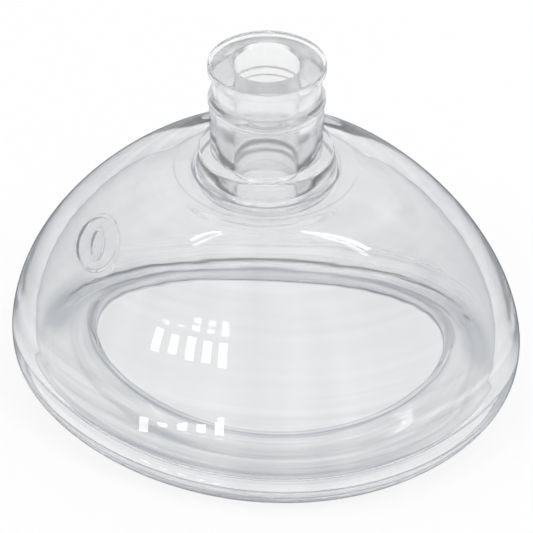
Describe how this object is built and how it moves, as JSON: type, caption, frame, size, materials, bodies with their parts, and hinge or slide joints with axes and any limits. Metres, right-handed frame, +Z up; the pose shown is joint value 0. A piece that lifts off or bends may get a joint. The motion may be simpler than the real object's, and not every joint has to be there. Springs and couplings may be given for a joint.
{
  "type": "silicone resuscitation mask",
  "caption": "Clear one-piece infant face mask: domed shell with an oval in-turned lip and an upright tube for a resuscitator's patient port.",
  "frame": {"origin": "on the connector's axis, in the plane of the rim's lowest lines", "axes": "+Z up the connector's bore, +X along the mask's length towards the wide chin end, Y across it"},
  "size_m": [0.076, 0.0614, 0.0555],
  "materials": {
    "clear_silicone": "clear, glossy moulded silicone with a faint cool tint"
  },
  "bodies": {
    "root": {"mask": "clear_silicone"}
  },
  "joints": []
}
